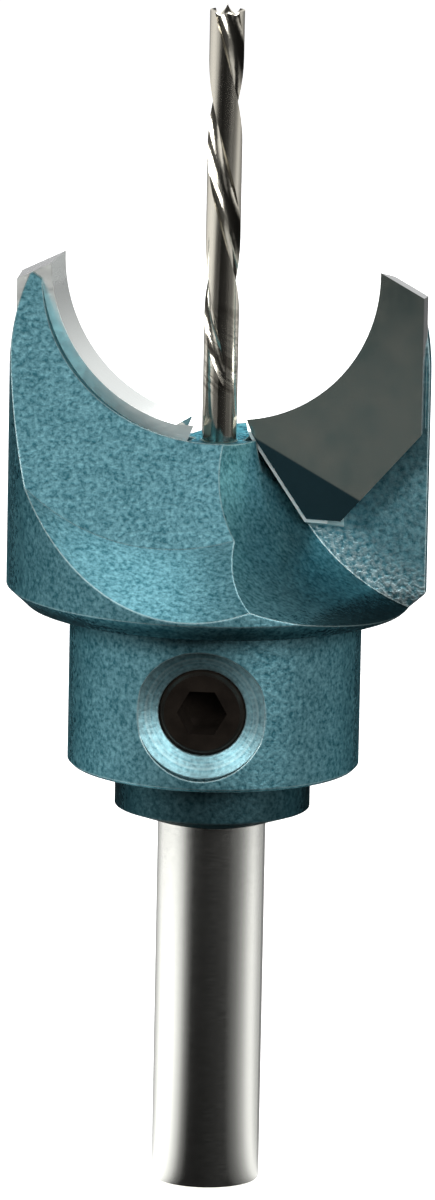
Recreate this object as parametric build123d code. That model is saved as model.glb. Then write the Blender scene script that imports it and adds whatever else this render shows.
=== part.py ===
from build123d import *
import math
import os

# Bead router bit, millimetres, +Z up along its axis, origin at the centre of the shank's end face.
# The cutting plane is XZ: the right wing lies at +X with its carbide facing -Y, and the left
# wing is the same wing turned half a turn about Z.

# Shank, collar and boss
shank_diameter = 10.0
shank_length = 35.0
shank_chamfer = 0.8
neck_cone_height = 1.4
collar_diameter = 18.1
collar_height = 4.0
boss_diameter = 27.0
boss_height = 15.1
boss_chamfer = 0.25

# Head
head_diameter = 38.8
head_base_chamfer_height = 1.6
head_base_chamfer_width = 1.75
head_crown_height = 22.0
head_crown_radius = 21.0
bead_centre_height = 31.4
body_clearance = 1.6
cavity_drop = 0.4
tip_clearance = 0.45

# Bead profile and carbide plates
bead_radius = 14.25
bead_offset = 0.87
cutting_diameter = 38.6
tip_rise = 0.4
corner_drop = 1.7
plate_thickness = 2.9
plate_relief_angle = 9.0
plate_inner_x = 2.6
plate_shoulder_step = 0.6
plate_heel_x = 8.5
plate_toe_x = 11.8
plate_foot_height = 8.4
plate_shoulder_height = 15.8
plate_side_height = 17.0

# Silver solder
solder_gap = 0.1
seam_width = 1.1
seam_recess = 0.15
seam_slope = 15.0

# Gullet cutter, and the cutter that thins the back of each wing
gullet_radius = 17.5
gullet_axis_x = 19.8
gullet_axis_y = -6.0
gullet_axis_height = 17.8
gullet_turn = -20.6
gullet_tilt = 5.7
heel_radius = 33.2
heel_axis_x = 1.6
heel_axis_y = -6.0
heel_axis_height = 46.8
heel_turn = 7.5
heel_tilt = -28.4
heel_face_turn = 19.6
heel_face_lean = 28.8
heel_face_reach = 4.85
heel_face_height = 16.0

# Centre drill
drill_diameter = 3.2
drill_length = 70.0
drill_reach = 24.3
drill_pitch = 33.0
flute_length = 22.0
flute_run_out = 14.0
flute_radius = 1.3
flute_centre = 1.95
flute_start_turn = 68.3
point_height = 1.0
point_radius = 0.95
spur_height = 0.4
bore_clearance = 0.05

# Set screw
screw_thread_diameter = 8.0
screw_length = 10.0
screw_height = 7.0
screw_turn = 11.6
screw_clearance = 0.05
screw_point_diameter = 5.5
screw_face_chamfer = 0.5
socket_across_flats = 4.0
socket_depth = 4.0
spot_face_diameter = 12.0
spot_face_depth = 1.25
spot_face_slope = 25.0

# Heights and radii that follow from the sizes above
collar_base = shank_length + neck_cone_height
boss_base = collar_base + collar_height
head_base = boss_base + boss_height
bead_centre = head_base + bead_centre_height
shank_radius = shank_diameter / 2
boss_radius = boss_diameter / 2
head_radius = head_diameter / 2
cutting_radius = cutting_diameter / 2
cavity_radius = bead_radius + body_clearance
tip_z = bead_centre + tip_rise
corner_z = bead_centre - corner_drop
seat_y = plate_thickness + solder_gap
drill_top = bead_centre + drill_reach
drill_base = drill_top - drill_length
screw_z = boss_base + screw_height


def direction(turn, lift):
    """Unit vector that points to the front, turned towards +X and lifted towards +Z."""
    turn, lift = math.radians(turn), math.radians(lift)
    return Vector(math.sin(turn) * math.cos(lift), -math.cos(turn) * math.cos(lift), math.sin(lift))


def half_turn(shape):
    """The same shape on the other wing."""
    return shape.rotate(Axis.Z, 180)


def largest(shape):
    """The largest solid of a cut shape."""
    return max(shape.solids(), key=lambda solid: solid.volume)


def arc_height(radius, x):
    """Height at which a bead arc of this radius passes a distance x from the axis."""
    return bead_centre - math.sqrt(radius ** 2 - (x - bead_offset) ** 2)


def top_edge(x):
    """Height of the plate's sloping top edge at a distance x from the axis."""
    tip_x = bead_offset + math.sqrt(bead_radius ** 2 - tip_rise ** 2)
    slope = (tip_z - corner_z) / (cutting_radius - tip_x)
    return corner_z + (cutting_radius - x) * slope


def turned_blank():
    """Shank, collar, boss and head as they leave the lathe, with the bead cavity bored."""
    collar_radius = collar_diameter / 2
    crown_z = head_base + head_crown_height
    crown_turn = math.degrees(math.asin((tip_z - crown_z) / head_crown_radius))
    side = Polyline(
        (0, 0), (shank_radius - shank_chamfer, 0), (shank_radius, shank_chamfer),
        (shank_radius, shank_length), (collar_radius, collar_base),
        (collar_radius, boss_base), (boss_radius - boss_chamfer, boss_base),
        (boss_radius, boss_base + boss_chamfer), (boss_radius, head_base),
        (head_radius - head_base_chamfer_width, head_base),
        (head_radius, head_base + head_base_chamfer_height), (head_radius, crown_z),
    )
    crown = JernArc(side @ 1, (0, 1), head_crown_radius, crown_turn)
    lid = Polyline(crown @ 1, (0, tip_z), (0, 0))
    bore = Pos(bead_offset, bead_centre - cavity_drop) * Circle(cavity_radius)
    inner, outer = bead_radius / 2, head_diameter
    bevel = make_face(Polyline(
        (inner, top_edge(inner) - tip_clearance), (outer, top_edge(outer) - tip_clearance),
        (outer, 2 * tip_z), (inner, 2 * tip_z), close=True,
    ))
    return revolve(Plane.XZ * (make_face([side, crown, lid]) - bore - bevel), Axis.Z)


def front_space():
    """Everything in front of the right wing's seat, which the two milling cuts may reach."""
    size = 6 * head_diameter
    return Pos(0, seat_y - size / 2, head_base) * Box(size, size, size)


def milled(axis_x, axis_y, axis_z, turn, tilt, radius):
    """The round cut of a milling cutter whose axis runs through one point."""
    centre = Vector(axis_x, axis_y, axis_z)
    return Plane(origin=centre, z_dir=direction(turn, tilt)) * Cylinder(radius, 8 * head_diameter)


def gullet():
    """The round-bottomed gullet in front of the right wing's carbide."""
    cut = milled(gullet_axis_x, gullet_axis_y, head_base + gullet_axis_height,
                 gullet_turn, gullet_tilt, gullet_radius)
    return cut & front_space()


def heel_pocket():
    """The leaning face and round floor milled into the back of the left wing."""
    cut = milled(heel_axis_x, heel_axis_y, head_base + heel_axis_height, heel_turn, heel_tilt, heel_radius)
    lean = direction(heel_face_turn, heel_face_lean)
    foot = direction(heel_face_turn, 0) * heel_face_reach + Vector(0, 0, head_base + heel_face_height)
    size = 6 * head_diameter
    ahead = Plane(origin=foot, z_dir=lean) * Pos(0, 0, size / 2) * Box(size, size, size)
    return cut & ahead & front_space()


def plate_outline():
    """The right carbide plate seen from the front, as a face in its cutting plane."""
    inner = (plate_inner_x, arc_height(bead_radius, plate_inner_x))
    tip_x = bead_offset + math.sqrt(bead_radius ** 2 - tip_rise ** 2)
    middle_x = bead_offset + bead_radius * math.sin(math.radians(50))
    arc = ThreePointArc(inner, (middle_x, arc_height(bead_radius, middle_x)), (tip_x, tip_z))
    sides = Polyline(
        (tip_x, tip_z), (cutting_radius, corner_z),
        (cutting_radius, head_base + plate_side_height),
        (plate_toe_x, head_base + plate_foot_height),
        (plate_heel_x, head_base + plate_foot_height),
        (plate_inner_x + plate_shoulder_step, head_base + plate_shoulder_height), inner,
    )
    return make_face([arc, sides])


def backwards(face, start, end):
    """A prism of a front-view face from one depth behind the cutting plane to another."""
    return extrude(Plane.XZ.offset(-start) * face, amount=start - end)


def carbide_plate():
    """One carbide plate, its sides relieved behind the cutting edge."""
    return extrude(Plane.XZ * plate_outline(), amount=-plate_thickness, taper=plate_relief_angle)


def seam_outline():
    """The strip around the plate's lower corner that the solder fills."""
    left, right = plate_inner_x - 2 * seam_width, plate_toe_x - seam_width / 2
    low, high = plate_foot_height - 2 * seam_width, plate_shoulder_height + seam_width
    corner = Pos((left + right) / 2, head_base + (low + high) / 2) * Rectangle(right - left, high - low)
    return offset(plate_outline(), seam_width, kind=Kind.INTERSECTION) & corner


def seat():
    """The pocket that the plate and its solder take out of the body."""
    return backwards(plate_outline(), 0, seat_y) + backwards(seam_outline(), 0, seat_y)


def body():
    """The turned blank with everything milled and drilled out of it."""
    shape = turned_blank()
    for cut in (gullet(), heel_pocket(), seat()):
        shape = shape - cut - half_turn(cut)
    return largest(shape - drill_bore() - screw_hole())


def drill_bore():
    """Blind bore on the axis that holds the centre drill."""
    depth = bead_centre - drill_base
    radius = drill_diameter / 2 + bore_clearance
    return Pos(0, 0, drill_base + depth / 2) * Cylinder(radius, depth)


def screw_frame():
    """Plane on the axis at the set screw's height, with its normal along the screw."""
    return Plane(origin=(0, 0, screw_z), z_dir=direction(screw_turn, 0))


def screw_hole():
    """Tapped hole through the boss wall to the bore, under a spot face with a sloping floor."""
    radius, mouth_radius = screw_thread_diameter / 2 + screw_clearance, spot_face_diameter / 2
    mouth = boss_radius - spot_face_depth
    floor_height = (mouth_radius - radius) * math.tan(math.radians(spot_face_slope))
    hole = Pos(0, 0, boss_radius / 2) * Cylinder(radius, boss_radius)
    floor = Pos(0, 0, mouth - floor_height / 2) * Cone(radius, mouth_radius, floor_height)
    spot_face = Pos(0, 0, mouth + boss_radius) * Cylinder(mouth_radius, 2 * boss_radius)
    return screw_frame() * (hole + floor + spot_face)


def set_screw():
    """Socket set screw with a flat point that presses on the drill."""
    radius = screw_thread_diameter / 2
    blank = extrude(Circle(radius), amount=screw_length)
    blank = chamfer(blank.edges().sort_by(Axis.Z)[0], length=radius - screw_point_diameter / 2)
    blank = chamfer(blank.edges().sort_by(Axis.Z)[-1], length=screw_face_chamfer)
    key = RegularPolygon(socket_across_flats / 2, 6, major_radius=False)
    socket = extrude(Plane.XY.offset(screw_length) * key, amount=-socket_depth)
    return screw_frame() * Pos(0, 0, drill_diameter / 2) * (blank - socket)


def drill_blank():
    """Round drill rod with a brad point: a centre spike in a hollow between two sharp spurs."""
    radius = drill_diameter / 2
    valley = drill_top - point_height
    spike = ThreePointArc((0, drill_top), (point_radius * 0.35, drill_top - point_height * 0.6),
                          (point_radius, valley))
    hollow = ThreePointArc(spike @ 1, ((point_radius + radius) / 2, valley + spur_height * 0.15),
                           (radius, valley + spur_height))
    rod = Polyline(hollow @ 1, (radius, drill_base), (0, drill_base), (0, drill_top))
    return revolve(Plane.XZ * make_face([spike, hollow, rod]), Axis.Z)


def groove(path):
    """A round-bottomed groove along a winding path."""
    return sweep(Plane(origin=path @ 0, z_dir=path % 0) * Circle(flute_radius), path=path, is_frenet=True)


def flute():
    """One flute, wound left-handed up to the drill's point, that grows shallow and runs out below."""
    full_depth = groove(Helix(drill_pitch, flute_length + point_height, flute_centre, lefthand=True))
    exit_radius = drill_diameter / 2 + flute_radius + bore_clearance
    widening = math.degrees(math.atan((exit_radius - flute_centre) / flute_run_out))
    run_out = groove(Helix(drill_pitch, flute_run_out, flute_centre, cone_angle=widening))
    joint = Pos(flute_centre, 0, 0) * Sphere(flute_radius)
    return Pos(0, 0, drill_top - flute_length) * (full_depth + joint + run_out.mirror(Plane.XY))


def centre_drill():
    """Twist drill with a brad point, left-hand like the cutter."""
    winding = flute().rotate(Axis.Z, flute_start_turn - 90)
    return largest(drill_blank() - winding - half_turn(winding))


def solder_seam(shell, plate):
    """Thin solder layer behind the plate, with the fillet that fills the seat around its corner."""
    layer = extrude(plate.faces().sort_by(Axis.Y)[-1], amount=solder_gap, dir=(0, 1, 0))
    fillet_metal = extrude(Plane.XZ.offset(-seat_y) * seam_outline(), amount=seat_y - seam_recess, taper=seam_slope)
    return largest(layer + fillet_metal - plate - shell)


os.makedirs("parts", exist_ok=True)
cutter_body = body()
plate = carbide_plate()
seam = solder_seam(cutter_body, plate)
export_step(cutter_body, "parts/cutter_body.step")
export_step(plate, "parts/carbide_plate_right.step")
export_step(half_turn(plate), "parts/carbide_plate_left.step")
export_step(seam, "parts/solder_seam_right.step")
export_step(half_turn(seam), "parts/solder_seam_left.step")
export_step(centre_drill(), "parts/centre_drill.step")
export_step(set_screw(), "parts/set_screw.step")
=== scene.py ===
import math

import bmesh
import bpy
from mathutils import Matrix, Vector

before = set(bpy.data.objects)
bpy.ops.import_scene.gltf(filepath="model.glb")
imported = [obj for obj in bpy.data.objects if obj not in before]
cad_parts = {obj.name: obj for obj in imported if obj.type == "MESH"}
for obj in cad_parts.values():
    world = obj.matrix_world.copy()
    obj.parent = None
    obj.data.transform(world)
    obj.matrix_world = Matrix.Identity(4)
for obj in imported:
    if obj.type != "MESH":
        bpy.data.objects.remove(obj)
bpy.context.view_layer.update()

# The camera. The photograph was taken a little from above and from the right of the cutter's face,
# with a long lens, and the cutter leans one degree clockwise in it.
PICTURE_TURN, PICTURE_LIFT, PICTURE_LEAN = 17.0, 11.8, 1.13
CAMERA_DISTANCE, NEAREST_SEEN = 0.9, 0.05
LENS, SENSOR_HEIGHT = 194.9, 24.0
AIM = Vector((0.00013, 0.00004, 0.0556))


def towards(turn, lift):
    """Direction from the cutter to a place turned from its front towards +X and lifted."""
    turn, lift = math.radians(turn), math.radians(lift)
    return Vector((math.sin(turn) * math.cos(lift), -math.cos(turn) * math.cos(lift), math.sin(lift)))


def aimed(place, aim):
    """Rotation of a camera or lamp that stands at a place and looks at another."""
    return (aim - place).to_track_quat("-Z", "Y").to_matrix()


camera = bpy.data.objects.new("camera", bpy.data.cameras.new("camera"))
bpy.context.scene.collection.objects.link(camera)
camera.location = AIM + towards(PICTURE_TURN, PICTURE_LIFT) * CAMERA_DISTANCE
lean = Matrix.Rotation(math.radians(PICTURE_LEAN), 3, "Z")
camera.rotation_euler = (aimed(camera.location, AIM) @ lean).to_euler()
camera.data.sensor_fit = "VERTICAL"
camera.data.sensor_height = SENSOR_HEIGHT
camera.data.lens = LENS
camera.data.clip_start = NEAREST_SEEN
bpy.context.scene.camera = camera
bpy.context.scene.view_settings.view_transform = "Standard"

# The studio. White paper lies under the cutter and five soft lamps stand round it. A black cloth and a
# grey card lie on the paper, where only reflections show them. The cloth is open at the sides, so the
# bare steel gets light bands beside a dark one.
WORLD_LIGHT = 0.06
BACKDROP_LIFT, BACKDROP_EDGE, BACKDROP_CORE = -12.0, 0.45, 0.75


def colour(text):
    """Linear colour of an sRGB hex value."""
    parts = [int(text[i:i + 2], 16) / 255 for i in (0, 2, 4)]
    linear = [c / 12.92 if c <= 0.04045 else ((c + 0.055) / 1.055) ** 2.4 for c in parts]
    return (*linear, 1.0)


def node(tree, kind, settings=None, stops=(), **links):
    """Adds a shader node. Settings are its own properties, stops are the places and colours of a ramp, and
    links are its inputs, each a value or a socket."""
    made = tree.nodes.new(kind)
    for name, value in (settings or {}).items():
        setattr(made, name, value)
    while stops and len(made.color_ramp.elements) < len(stops):
        made.color_ramp.elements.new(0.5)
    for count, (place, tone) in enumerate(stops):
        made.color_ramp.elements[count].position = place
        made.color_ramp.elements[count].color = tone
    for name, value in links.items():
        if name.startswith("in_"):
            socket = made.inputs[int(name[3:])]
        else:
            socket = made.inputs[name.replace("_", " ")]
        if isinstance(value, bpy.types.NodeSocket):
            tree.links.new(value, socket)
        else:
            socket.default_value = value
    return made


# The world gives a faint even light. It is white to the camera, and behind the cutter in reflections.
world = bpy.data.worlds.new("studio")
bpy.context.scene.world = world
world.use_nodes = True
sky = world.node_tree
sky.nodes.clear()
rays = node(sky, "ShaderNodeLightPath")
soft = node(sky, "ShaderNodeBackground", Color=colour("ffffff"), Strength=WORLD_LIGHT)
white = node(sky, "ShaderNodeBackground", Color=colour("ffffff"), Strength=1.0)
look = node(sky, "ShaderNodeTexCoord")
facing = node(sky, "ShaderNodeVectorMath", {"operation": "DOT_PRODUCT"},
              in_0=look.outputs["Generated"], in_1=-towards(PICTURE_TURN, BACKDROP_LIFT))
backdrop = node(sky, "ShaderNodeMapRange", {"interpolation_type": "SMOOTHSTEP"},
                Value=facing.outputs["Value"], From_Min=BACKDROP_EDGE, From_Max=BACKDROP_CORE)
through = node(sky, "ShaderNodeMath", {"operation": "MAXIMUM"},
               in_0=rays.outputs["Is Glossy Ray"], in_1=rays.outputs["Is Transmission Ray"])
mirrored = node(sky, "ShaderNodeMath", {"operation": "MULTIPLY"},
                in_0=through.outputs[0], in_1=backdrop.outputs[0])
seen = node(sky, "ShaderNodeMath", {"operation": "MAXIMUM"},
            in_0=mirrored.outputs[0], in_1=rays.outputs["Is Camera Ray"])
shown = node(sky, "ShaderNodeMixShader", in_0=seen.outputs[0], in_1=soft.outputs[0], in_2=white.outputs[0])
sky.links.new(shown.outputs[0], node(sky, "ShaderNodeOutputWorld").inputs["Surface"])


def new_material(name):
    """An empty node material and its output node."""
    made = bpy.data.materials.new(name)
    made.use_nodes = True
    made.node_tree.nodes.clear()
    return made, made.node_tree, made.node_tree.nodes.new("ShaderNodeOutputMaterial")


def stage_piece(name, made, build):
    """A piece of the studio, from a function that fills a bmesh."""
    mesh = bpy.data.meshes.new(name)
    shape = bmesh.new()
    build(shape)
    shape.to_mesh(mesh)
    shape.free()
    piece = bpy.data.objects.new(name, mesh)
    bpy.context.scene.collection.objects.link(piece)
    mesh.materials.append(made)
    return piece


def square(half_width):
    """A function that builds a flat square sheet."""
    return lambda shape: bmesh.ops.create_grid(shape, x_segments=2, y_segments=2, size=half_width)


# The paper keeps the cutter's shadow and is lifted to white where it is seen or mirrored.
PAPER_HALF_WIDTH, PAPER_DROP, PAPER_LIFT = 1.5, 0.0001, 0.93
paper, tree, out = new_material("white_paper")
rays = node(tree, "ShaderNodeLightPath")
matte = node(tree, "ShaderNodeBsdfDiffuse", Color=colour("f6f6f6"))
glow = node(tree, "ShaderNodeEmission", Color=colour("ffffff"), Strength=PAPER_LIFT)
lifted = node(tree, "ShaderNodeAddShader", in_0=matte.outputs[0], in_1=glow.outputs[0])
mirrored = node(tree, "ShaderNodeMath", {"operation": "MAXIMUM"},
                in_0=rays.outputs["Is Camera Ray"], in_1=rays.outputs["Is Glossy Ray"])
seen = node(tree, "ShaderNodeMath", {"operation": "MAXIMUM"},
            in_0=mirrored.outputs[0], in_1=rays.outputs["Is Transmission Ray"])
shown = node(tree, "ShaderNodeMixShader",
             in_0=seen.outputs[0], in_1=matte.outputs[0], in_2=lifted.outputs[0])
tree.links.new(shown.outputs[0], out.inputs["Surface"])
floor = stage_piece("floor", paper, square(PAPER_HALF_WIDTH))
floor.location.z = -PAPER_DROP

# The cloth's weave is closed in front, nearly so behind, and opens to each side. Each stop is a turn in
# degrees and how closed it is there, set to give the shank its bands. A closed band also runs all
# round, at the reach where upright sides of the boss and the head mirror it.
CLOTH_INNER, CLOTH_OUTER, CLOTH_LIFT, CLOTH_SIDES = 0.005, 1.5, 0.0003, 64
CLOTH_WEAVE = ((-180, 0.85), (-145, 0.80), (-123, 0.50), (-108, 0.18), (-77, 0.02), (-60, 0.12),
               (-43, 0.52), (-33, 0.85), (-20, 1.0), (55, 1.0), (77, 0.88), (95, 0.68),
               (110, 0.38), (122, 0.30), (140, 0.55), (165, 0.85))
BAND_INNER, BAND_OUTER, BAND_FADE = 0.165, 0.37, 0.03


def grey(level):
    """Linear grey of a level from 0 to 1."""
    return (level, level, level, 1.0)


def only_reflected(piece):
    """Hides a piece of the studio from the camera and takes its shadow away."""
    piece.visible_camera = False
    piece.visible_shadow = False


def cloth_ring(shape):
    """A flat ring of cloth."""
    inner = bmesh.ops.create_circle(shape, segments=CLOTH_SIDES, radius=CLOTH_INNER)["verts"]
    outer = bmesh.ops.create_circle(shape, segments=CLOTH_SIDES, radius=CLOTH_OUTER)["verts"]
    for i in range(CLOTH_SIDES):
        after = (i + 1) % CLOTH_SIDES
        shape.faces.new((inner[i], outer[i], outer[after], inner[after]))


black_cloth, tree, out = new_material("black_cloth")
place = node(tree, "ShaderNodeTexCoord")
flat = node(tree, "ShaderNodeSeparateXYZ", Vector=place.outputs["Object"])
front = node(tree, "ShaderNodeMath", {"operation": "MULTIPLY"}, in_0=flat.outputs["Y"], in_1=-1.0)
around = node(tree, "ShaderNodeMath", {"operation": "ARCTAN2"},
              in_0=flat.outputs["X"], in_1=front.outputs[0])
spread = node(tree, "ShaderNodeMapRange", Value=around.outputs[0], From_Min=-math.pi, From_Max=math.pi)
weave = node(tree, "ShaderNodeValToRGB", Fac=spread.outputs[0],
             stops=[((turn + 180) / 360, grey(closed)) for turn, closed in CLOTH_WEAVE])
level = node(tree, "ShaderNodeCombineXYZ", X=flat.outputs["X"], Y=flat.outputs["Y"])
away = node(tree, "ShaderNodeVectorMath", {"operation": "LENGTH"}, in_0=level.outputs[0])
inside = node(tree, "ShaderNodeMapRange", {"interpolation_type": "SMOOTHSTEP"},
              Value=away.outputs["Value"], From_Min=BAND_INNER, From_Max=BAND_INNER + BAND_FADE)
beyond = node(tree, "ShaderNodeMapRange", {"interpolation_type": "SMOOTHSTEP"},
              Value=away.outputs["Value"], From_Min=BAND_OUTER, From_Max=BAND_OUTER + BAND_FADE,
              To_Min=1.0, To_Max=0.0)
band = node(tree, "ShaderNodeMath", {"operation": "MULTIPLY"},
            in_0=inside.outputs[0], in_1=beyond.outputs[0])
closed = node(tree, "ShaderNodeMath", {"operation": "MAXIMUM"},
              in_0=band.outputs[0], in_1=weave.outputs["Color"])
clear = node(tree, "ShaderNodeBsdfTransparent")
wool = node(tree, "ShaderNodeBsdfDiffuse", Color=colour("141414"))
woven = node(tree, "ShaderNodeMixShader",
             in_0=closed.outputs[0], in_1=clear.outputs[0], in_2=wool.outputs[0])
tree.links.new(woven.outputs[0], out.inputs["Surface"])
cloth = stage_piece("cloth", black_cloth, cloth_ring)
cloth.location.z = CLOTH_LIFT
only_reflected(cloth)

# The card lies in front of the cutter, where the flat face of the right carbide plate mirrors it.
CARD_TURN, CARD_REACH, CARD_HALF_WIDTH = -17.0, 0.37, 0.09
grey_card, tree, out = new_material("grey_card")
matte = node(tree, "ShaderNodeBsdfDiffuse", Color=colour("707070"))
tree.links.new(matte.outputs[0], out.inputs["Surface"])
card = stage_piece("card", grey_card, square(CARD_HALF_WIDTH))
card.location = towards(CARD_TURN, 0.0) * CARD_REACH + Vector((0, 0, 2 * CLOTH_LIFT))
card.rotation_euler.z = math.radians(CARD_TURN)
only_reflected(card)

# Each lamp has a turn and a lift in degrees, and a power in watts.
LAMP_DISTANCE, LAMP_WIDTH, LAMP_AIM = 0.6, 0.25, Vector((0, 0, 0.06))
LAMPS = (("lamp_key", -29.0, 24.0, 1.9), ("lamp_front", 28.0, 22.0, 1.5), ("lamp_side", 60.0, 14.0, 1.6),
         ("lamp_back", 180.0, 66.0, 1.3), ("lamp_rear", 200.0, 26.0, 1.3))
for name, turn, lift, power in LAMPS:
    data = bpy.data.lights.new(name, "AREA")
    data.shape = "RECTANGLE"
    data.size, data.size_y = LAMP_WIDTH, LAMP_WIDTH
    data.energy = power
    lamp = bpy.data.objects.new(name, data)
    bpy.context.scene.collection.objects.link(lamp)
    lamp.location = LAMP_AIM + towards(turn, lift) * LAMP_DISTANCE
    lamp.rotation_euler = aimed(lamp.location, LAMP_AIM).to_euler()

# The cutter body. Turned and milled from one steel bar, sprayed with a blue-green metallic enamel on
# its head, boss and collar. The shank is left bare and ground to size.
SHANK_TOP = 0.0352
ENAMEL_DARK, ENAMEL_LIGHT, LIT_WORN_ENAMEL = "33646f", "77a9b3", "c6dcdc"
SOLDER_SPECK, SCRAPED_ENAMEL, GROUND_STEEL = "c8d6d6", "a8c0c2", "dcdcd6"
enamel, tree, out = new_material("metallic_enamel_on_steel")
place = node(tree, "ShaderNodeTexCoord")
spot = node(tree, "ShaderNodeSeparateXYZ", Vector=place.outputs["Object"])

# The flake is far too fine to show. It is drawn as a mottle of 0.4 mm, over a fainter one of 2.4 mm.
FLAKE_PER_METRE, CLOUD_PER_METRE, CLOUD_SHARE = 2500.0, 420.0, 0.18
grit = node(tree, "ShaderNodeTexNoise",
            Vector=place.outputs["Object"], Scale=FLAKE_PER_METRE, Detail=2.0, Roughness=0.6)
cloud = node(tree, "ShaderNodeTexNoise",
             Vector=place.outputs["Object"], Scale=CLOUD_PER_METRE, Detail=3.0, Roughness=0.5)
mottle = node(tree, "ShaderNodeMix", {"data_type": "FLOAT"},
              in_0=CLOUD_SHARE, in_2=grit.outputs["Fac"], in_3=cloud.outputs["Fac"])
flake = node(tree, "ShaderNodeValToRGB", Fac=mottle.outputs[0],
             stops=((0.33, colour(ENAMEL_DARK)), (0.68, colour(ENAMEL_LIGHT))))

# Along each edge the enamel is lightened: partly rubbed thin, and partly a painted highlight where the
# rounded edge catches light. A bend is the cosine of how far the rounded edge has turned from the flat,
# where the lightening begins and where it is full.
EDGE_WIDTH, EDGE_WEAR_AND_HIGHLIGHT = 0.00022, 0.8
BEND_BEGUN, BEND_FULL = 0.985, 0.90
rounded = node(tree, "ShaderNodeBevel", {"samples": 6}, Radius=EDGE_WIDTH)
flat = node(tree, "ShaderNodeNewGeometry")
bend = node(tree, "ShaderNodeVectorMath", {"operation": "DOT_PRODUCT"},
            in_0=rounded.outputs[0], in_1=flat.outputs["Normal"])
wear_and_highlight = node(tree, "ShaderNodeMapRange",
            Value=bend.outputs["Value"], From_Min=BEND_BEGUN, From_Max=BEND_FULL,
            To_Min=0.0, To_Max=EDGE_WEAR_AND_HIGHLIGHT)
worn_and_lit = node(tree, "ShaderNodeMix", {"data_type": "RGBA"},
            in_0=wear_and_highlight.outputs[0], in_6=flake.outputs["Color"], in_7=colour(LIT_WORN_ENAMEL))

# Each wing's wall behind the carbide carries specks of solder, thickest along the bottom of the gullet.
# They are half a millimetre, and faint inside an oval given by its middle and half sizes, with Y unused.
SEAT_BEHIND, SEAT_SLACK = 0.003, 0.00004
OVAL_MIDDLE, OVAL_HALF_SIZES = (0.0232, 0.0, 0.0723), (0.0187, 1.0, 0.0176)
SPECKS_PER_METRE = 2000.0
wing = node(tree, "ShaderNodeMath", {"operation": "SIGN"}, in_0=spot.outputs["X"])
outward = node(tree, "ShaderNodeMath", {"operation": "ABSOLUTE"}, in_0=spot.outputs["X"])
behind = node(tree, "ShaderNodeMath", {"operation": "MULTIPLY"},
              in_0=spot.outputs["Y"], in_1=wing.outputs[0])
wall = node(tree, "ShaderNodeMath", {"operation": "COMPARE"},
            in_0=behind.outputs[0], in_1=SEAT_BEHIND, in_2=SEAT_SLACK)
across = node(tree, "ShaderNodeCombineXYZ", X=outward.outputs[0], Z=spot.outputs["Z"])
across = node(tree, "ShaderNodeVectorMath", {"operation": "SUBTRACT"},
              in_0=across.outputs[0], in_1=OVAL_MIDDLE)
across = node(tree, "ShaderNodeVectorMath", {"operation": "DIVIDE"},
              in_0=across.outputs[0], in_1=OVAL_HALF_SIZES)
reach = node(tree, "ShaderNodeVectorMath", {"operation": "LENGTH"}, in_0=across.outputs[0])
near = node(tree, "ShaderNodeMapRange",
            Value=reach.outputs["Value"], From_Min=0.74, From_Max=1.0, To_Min=0.1, To_Max=0.9)
near = node(tree, "ShaderNodeMath", {"operation": "MULTIPLY"}, in_0=near.outputs[0], in_1=wall.outputs[0])
lump = node(tree, "ShaderNodeTexNoise", Vector=place.outputs["Object"], Scale=SPECKS_PER_METRE, Detail=2.0)
speck = node(tree, "ShaderNodeMapRange",
             Value=lump.outputs["Fac"], From_Min=0.38, From_Max=0.64, To_Min=0.0, To_Max=1.0)
speck = node(tree, "ShaderNodeMath", {"operation": "MULTIPLY"}, in_0=speck.outputs[0], in_1=near.outputs[0])
specked = node(tree, "ShaderNodeMix", {"data_type": "RGBA"},
               in_0=speck.outputs[0], in_6=worn_and_lit.outputs[2], in_7=colour(SOLDER_SPECK))

# The spot face round the set screw is scraped thin, with the tool's rings of about 0.3 mm still in it.
SPOT_REACH, SPOT_HEIGHT, SPOT_TURN, SPOT_DEPTH = 0.00602, 0.0474, 11.6, 0.0104
SCRAPES_PER_METRE = 3600.0
aside = node(tree, "ShaderNodeVectorMath", {"operation": "SUBTRACT"},
             in_0=place.outputs["Object"], in_1=(0.0, 0.0, SPOT_HEIGHT))
depth = node(tree, "ShaderNodeVectorMath", {"operation": "DOT_PRODUCT"},
             in_0=aside.outputs[0], in_1=towards(SPOT_TURN, 0.0))
offset = node(tree, "ShaderNodeVectorMath", {"operation": "CROSS_PRODUCT"},
              in_0=aside.outputs[0], in_1=towards(SPOT_TURN, 0.0))
offset = node(tree, "ShaderNodeVectorMath", {"operation": "LENGTH"}, in_0=offset.outputs[0])
ringed = node(tree, "ShaderNodeMath", {"operation": "LESS_THAN"},
              in_0=offset.outputs["Value"], in_1=SPOT_REACH)
facing = node(tree, "ShaderNodeMath", {"operation": "GREATER_THAN"},
              in_0=depth.outputs["Value"], in_1=SPOT_DEPTH)
ringed = node(tree, "ShaderNodeMath", {"operation": "MULTIPLY"},
              in_0=ringed.outputs[0], in_1=facing.outputs[0])
rings = node(tree, "ShaderNodeCombineXYZ", X=offset.outputs["Value"])
rings = node(tree, "ShaderNodeTexNoise", Vector=rings.outputs[0], Scale=SCRAPES_PER_METRE, Detail=1.0)
scrape = node(tree, "ShaderNodeMapRange",
              Value=rings.outputs["Fac"], From_Min=0.35, From_Max=0.65, To_Min=0.1, To_Max=0.5)
scrape = node(tree, "ShaderNodeMath", {"operation": "MULTIPLY"},
              in_0=scrape.outputs[0], in_1=ringed.outputs[0])
scraped = node(tree, "ShaderNodeMix", {"data_type": "RGBA"},
               in_0=scrape.outputs[0], in_6=specked.outputs[2], in_7=colour(SCRAPED_ENAMEL))
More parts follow.
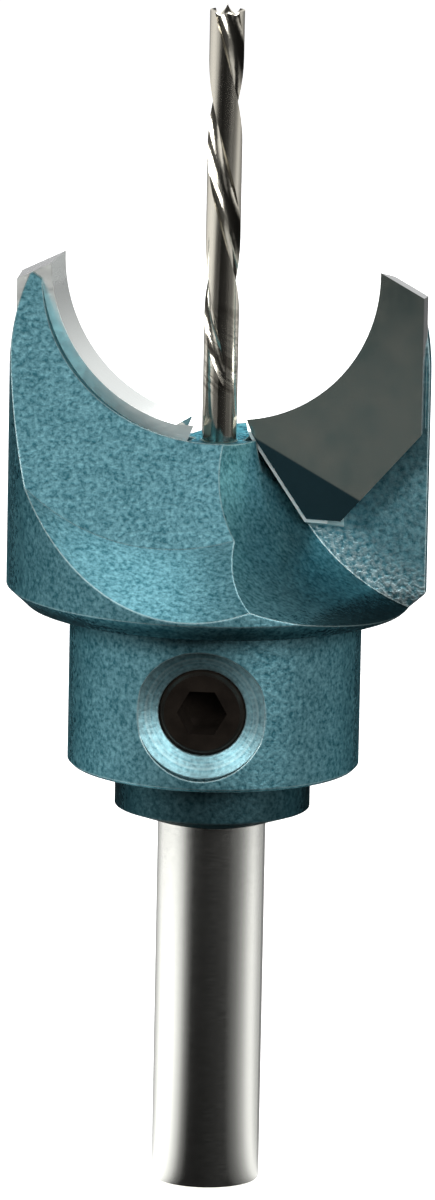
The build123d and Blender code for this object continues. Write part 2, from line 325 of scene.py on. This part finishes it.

# Painted shade: the collar and the corner under the head are darkened, where the boss and the head shade
# them. Each stop is a share of the way up between two heights, and how much of the enamel's colour is kept.
SHADE_BASE, SHADE_TOP = 0.035, 0.060
PAINTED_SHADE_STOPS = ((0.0, 0.28), (0.20, 0.28), (0.225, 0.95), (0.26, 1.0), (0.70, 1.0), (0.78, 0.45),
         (0.84, 0.30), (0.875, 0.55), (0.89, 1.0))
climb = node(tree, "ShaderNodeMapRange", Value=spot.outputs["Z"], From_Min=SHADE_BASE, From_Max=SHADE_TOP)
painted_shade = node(tree, "ShaderNodeValToRGB", Fac=climb.outputs[0],
             stops=[(up, grey(kept)) for up, kept in PAINTED_SHADE_STOPS])
shaded = node(tree, "ShaderNodeMix", {"data_type": "RGBA", "blend_type": "MULTIPLY"},
              in_0=1.0, in_6=scraped.outputs[2], in_7=painted_shade.outputs["Color"])

# Specks stand up from the enamel. Its flakes lie at many angles, so its shine is wide and mostly metallic.
SPECK_HEIGHT, ENAMEL_RELIEF = 1.6, 0.00006
relief = node(tree, "ShaderNodeMath", {"operation": "MULTIPLY_ADD"},
              in_0=speck.outputs[0], in_1=SPECK_HEIGHT, in_2=mottle.outputs[0])
bump = node(tree, "ShaderNodeBump",
            Height=relief.outputs[0], Distance=ENAMEL_RELIEF, Strength=0.6, Normal=rounded.outputs[0])
paint = node(tree, "ShaderNodeBsdfPrincipled",
             Base_Color=shaded.outputs[2], Metallic=0.93, Roughness=0.46, Specular_IOR_Level=0.25,
             Specular_Tint=grey(0.05), Normal=bump.outputs[0])

# Centreless grinding leaves fine lines round the shank that widen its reflections. They are about 1.1 mm
# long and 0.04 mm apart.
GRAIN_PER_METRE, GRAIN_SQUEEZE, GRAIN_RELIEF = 900.0, 30.0, 0.00001
turned = node(tree, "ShaderNodeVectorMath", {"operation": "MULTIPLY"},
              in_0=place.outputs["Object"], in_1=(1.0, 1.0, GRAIN_SQUEEZE))
grain = node(tree, "ShaderNodeTexNoise", Vector=turned.outputs[0], Scale=GRAIN_PER_METRE, Detail=2.0)
rough = node(tree, "ShaderNodeMapRange", Value=grain.outputs["Fac"], To_Min=0.13, To_Max=0.26)
lines = node(tree, "ShaderNodeBump", Height=grain.outputs["Fac"], Distance=GRAIN_RELIEF, Strength=0.5)
bare = node(tree, "ShaderNodeBsdfPrincipled",
            Base_Color=colour(GROUND_STEEL), Metallic=1.0, Roughness=rough.outputs[0],
            Normal=lines.outputs[0])
above = node(tree, "ShaderNodeMath", {"operation": "GREATER_THAN"}, in_0=spot.outputs["Z"], in_1=SHANK_TOP)
coat = node(tree, "ShaderNodeMixShader", in_0=above.outputs[0], in_1=bare.outputs[0], in_2=paint.outputs[0])
tree.links.new(coat.outputs[0], out.inputs["Surface"])


def finish_node(name, made):
    """Gives a CAD node its finish in place of the one from the pack."""
    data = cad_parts[name].data
    data.materials.clear()
    data.materials.append(made)


finish_node("cutter_body", enamel)

# The carbide plates. Sintered tungsten carbide, brazed on and then ground. The flat face is grey, with
# smudges of about 4 mm from handling, and the clearance faces behind the cutting edges shine.
CARBIDE_DULL, CARBIDE_PALE = "7c8c88", "9ea59d"
# The first colour is the body's blue-green, painted into the flat face as its reflection.
MIRRORED_BODY_TEAL, SINTERED_SKIN, FINE_GROUND = "2f4c54", "454a4c", "e6eae8"
SMUDGES_PER_METRE = 260.0
carbide, tree, out = new_material("ground_tungsten_carbide")
place = node(tree, "ShaderNodeTexCoord")
where = node(tree, "ShaderNodeSeparateXYZ", Vector=place.outputs["Object"])
side = node(tree, "ShaderNodeSeparateXYZ", Vector=place.outputs["Normal"])
smudge = node(tree, "ShaderNodeTexNoise",
              Vector=place.outputs["Object"], Scale=SMUDGES_PER_METRE, Detail=4.0, Roughness=0.6)
face = node(tree, "ShaderNodeValToRGB", Fac=smudge.outputs["Fac"],
            stops=((0.32, colour(CARBIDE_DULL)), (0.70, colour(CARBIDE_PALE))))

# Painted reflection: the corner of the flat face by the drill is given the body's blue-green, up to a
# straight line, where the face mirrors the enamelled body. The line falls outward by its slope, from the
# height that it would have on the axis.
REFLECTION_SLOPE, REFLECTION_HEIGHT, REFLECTION_BLUR = 0.503, 0.07284, 0.0001
outward = node(tree, "ShaderNodeMath", {"operation": "ABSOLUTE"}, in_0=where.outputs["X"])
slope = node(tree, "ShaderNodeMath", {"operation": "MULTIPLY_ADD"},
             in_0=outward.outputs[0], in_1=REFLECTION_SLOPE, in_2=where.outputs["Z"])
painted_reflection = node(tree, "ShaderNodeMapRange", Value=slope.outputs[0],
                From_Min=REFLECTION_HEIGHT + REFLECTION_BLUR, From_Max=REFLECTION_HEIGHT - REFLECTION_BLUR)
tone = node(tree, "ShaderNodeMix", {"data_type": "RGBA"},
            in_0=painted_reflection.outputs[0], in_6=face.outputs["Color"], in_7=colour(MIRRORED_BODY_TEAL))

# The plate's sides keep the dark skin of sintering, apart from the clearance faces round the bead.
SIDE_LIMIT, BEAD_SIDE_LIMIT, CLEARANCE_ROUGHNESS = 0.7, 0.5, 0.2
flat = node(tree, "ShaderNodeMath", {"operation": "ABSOLUTE"}, in_0=side.outputs["Y"])
skin = node(tree, "ShaderNodeMath", {"operation": "LESS_THAN"}, in_0=flat.outputs[0], in_1=SIDE_LIMIT)
wing = node(tree, "ShaderNodeMath", {"operation": "SIGN"}, in_0=where.outputs["X"])
outer = node(tree, "ShaderNodeMath", {"operation": "MULTIPLY"}, in_0=side.outputs["X"], in_1=wing.outputs[0])
inner = node(tree, "ShaderNodeMath", {"operation": "SUBTRACT"},
             in_0=side.outputs["Z"], in_1=outer.outputs[0])
beadward = node(tree, "ShaderNodeMath", {"operation": "GREATER_THAN"},
                in_0=inner.outputs[0], in_1=BEAD_SIDE_LIMIT)
ground = node(tree, "ShaderNodeMath", {"operation": "MULTIPLY"},
              in_0=skin.outputs[0], in_1=beadward.outputs[0])
tone = node(tree, "ShaderNodeMix", {"data_type": "RGBA"},
            in_0=skin.outputs[0], in_6=tone.outputs[2], in_7=colour(SINTERED_SKIN))
tone = node(tree, "ShaderNodeMix", {"data_type": "RGBA"},
            in_0=ground.outputs[0], in_6=tone.outputs[2], in_7=colour(FINE_GROUND))
haze = node(tree, "ShaderNodeMapRange",
            Value=smudge.outputs["Fac"], From_Min=0.3, From_Max=0.7, To_Min=0.10, To_Max=0.16)
polish = node(tree, "ShaderNodeMix", {"data_type": "FLOAT"},
              in_0=ground.outputs[0], in_2=haze.outputs[0], in_3=CLEARANCE_ROUGHNESS)
plate = node(tree, "ShaderNodeBsdfPrincipled",
             Base_Color=tone.outputs[2], Metallic=0.9, Roughness=polish.outputs[0])
tree.links.new(plate.outputs[0], out.inputs["Surface"])
for name in ("carbide_plate_right", "carbide_plate_left"):
    finish_node(name, carbide)

# The silver solder. Flowed in bright between each plate and its seat, and left as it set, with soft
# ripples of about a millimetre.
SOLDER_SILVER, RIPPLES_PER_METRE, RIPPLE_RELIEF = "e6e8e4", 900.0, 0.0001
solder, tree, out = new_material("silver_solder")
place = node(tree, "ShaderNodeTexCoord")
ripple = node(tree, "ShaderNodeTexNoise",
              Vector=place.outputs["Object"], Scale=RIPPLES_PER_METRE, Detail=3.0)
lumps = node(tree, "ShaderNodeBump", Height=ripple.outputs["Fac"], Distance=RIPPLE_RELIEF, Strength=0.6)
seam = node(tree, "ShaderNodeBsdfPrincipled",
            Base_Color=colour(SOLDER_SILVER), Metallic=0.9, Roughness=0.38, Normal=lumps.outputs[0])
tree.links.new(seam.outputs[0], out.inputs["Surface"])
for name in ("solder_seam_right", "solder_seam_left"):
    finish_node(name, solder)

# The centre drill. High-speed steel, ground bright. The wheel's slanted marks show where the flutes run
# out, drawn 4 mm long and 0.45 mm apart, which is coarser than the real ones.
DRILL_SHADE, DRILL_BRIGHT = "6e665a", "d2cdc0"
MARK_SLANT, MARK_SIZE, MARK_RELIEF = math.radians(38), (0.004, 0.004, 0.00045), 0.00004
LOWER_FADE, UPPER_FADE = (0.0745, 0.0765), (0.084, 0.081)
drill_steel, tree, out = new_material("ground_high_speed_steel")
place = node(tree, "ShaderNodeTexCoord")
spot = node(tree, "ShaderNodeSeparateXYZ", Vector=place.outputs["Object"])
slant = node(tree, "ShaderNodeMapping", {"vector_type": "TEXTURE"},
             Vector=place.outputs["Object"], Rotation=(0.0, MARK_SLANT, 0.0), Scale=MARK_SIZE)
marks = node(tree, "ShaderNodeTexNoise", Vector=slant.outputs[0], Scale=1.0, Detail=2.0)
above = node(tree, "ShaderNodeMapRange",
             Value=spot.outputs["Z"], From_Min=LOWER_FADE[0], From_Max=LOWER_FADE[1])
below = node(tree, "ShaderNodeMapRange",
             Value=spot.outputs["Z"], From_Min=UPPER_FADE[0], From_Max=UPPER_FADE[1])
swept = node(tree, "ShaderNodeMath", {"operation": "MULTIPLY"}, in_0=above.outputs[0], in_1=below.outputs[0])
patch = node(tree, "ShaderNodeMix", {"data_type": "FLOAT"},
             in_0=swept.outputs[0], in_2=0.5, in_3=marks.outputs["Fac"])
shade = node(tree, "ShaderNodeValToRGB", Fac=patch.outputs[0],
             stops=((0.3, colour(DRILL_SHADE)), (0.52, colour(DRILL_BRIGHT))))
lines = node(tree, "ShaderNodeBump", Height=patch.outputs[0], Distance=MARK_RELIEF, Strength=0.5)
bright = node(tree, "ShaderNodeBsdfPrincipled",
              Base_Color=shade.outputs["Color"], Metallic=1.0, Roughness=0.15, Normal=lines.outputs[0])
tree.links.new(bright.outputs[0], out.inputs["Surface"])
finish_node("centre_drill", drill_steel)

# The set screw. Alloy steel, blackened and oiled, so it is nearly black, with brown patches of a
# millimetre or two.
SCREW_BLACK, SCREW_BROWN, PATCHES_PER_METRE = "171412", "463e37", 600.0
black_steel, tree, out = new_material("blackened_alloy_steel")
place = node(tree, "ShaderNodeTexCoord")
patch = node(tree, "ShaderNodeTexNoise", Vector=place.outputs["Object"], Scale=PATCHES_PER_METRE, Detail=3.0)
shade = node(tree, "ShaderNodeValToRGB", Fac=patch.outputs["Fac"],
             stops=((0.0, colour(SCREW_BLACK)), (1.0, colour(SCREW_BROWN))))
oiled = node(tree, "ShaderNodeBsdfPrincipled",
             Base_Color=shade.outputs["Color"], Metallic=0.7, Roughness=0.2)
tree.links.new(oiled.outputs[0], out.inputs["Surface"])
finish_node("set_screw", black_steel)
